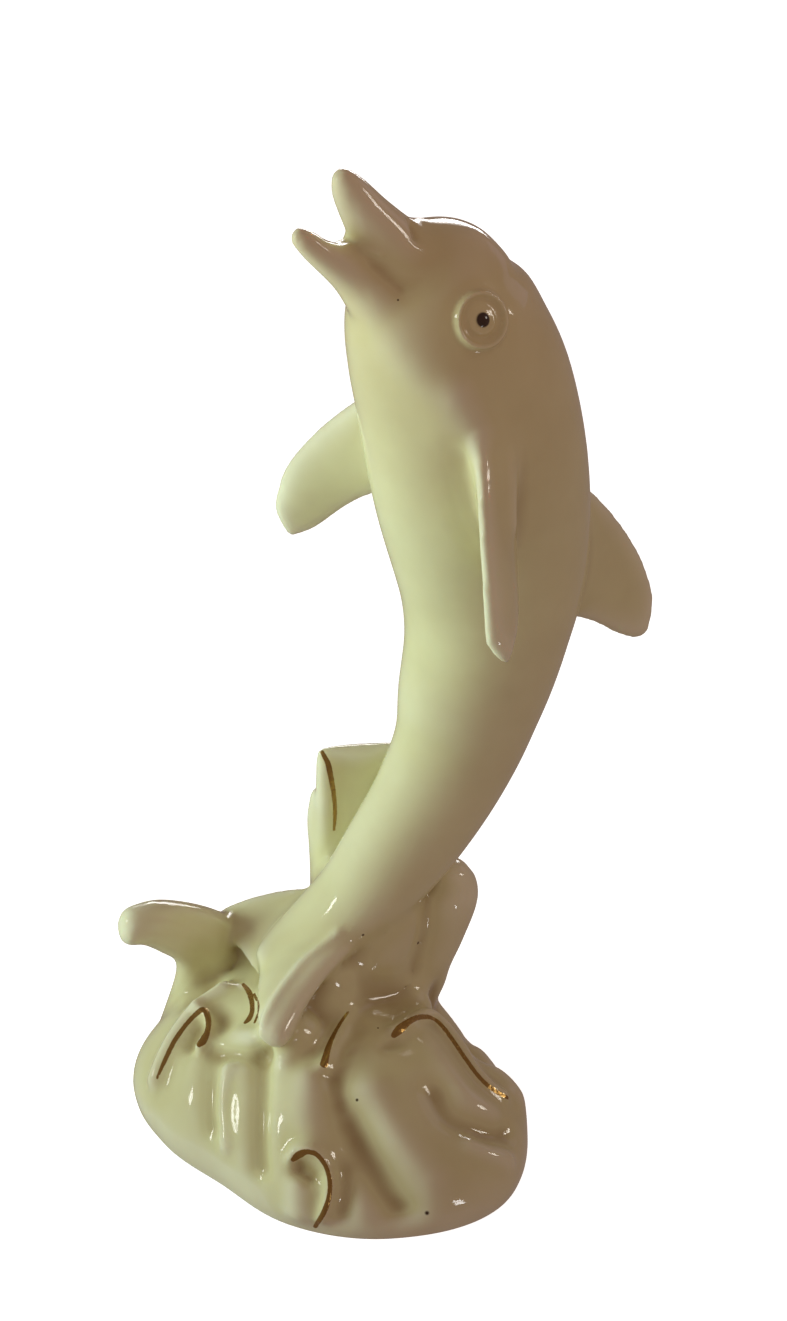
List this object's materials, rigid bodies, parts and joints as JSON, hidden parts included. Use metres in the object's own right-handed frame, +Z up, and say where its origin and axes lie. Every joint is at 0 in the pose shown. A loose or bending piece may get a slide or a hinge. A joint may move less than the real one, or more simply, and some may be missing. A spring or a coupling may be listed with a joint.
{
  "type": "dolphin figurine",
  "caption": "Glazed porcelain dolphin leaping upright from a breaking wave, cast in one piece with a flat oval foot.",
  "frame": {"origin": "centre of the foot on the flat underside", "axes": "+Z up along the leap, -X the way the dolphin's belly faces, -Y the side seen in front"},
  "size_m": [0.1106, 0.0854, 0.1944],
  "materials": {
    "ivory_glaze": "glossy glaze"
  },
  "bodies": {
    "root": {"dolphin_on_waves": "ivory_glaze"}
  },
  "joints": []
}
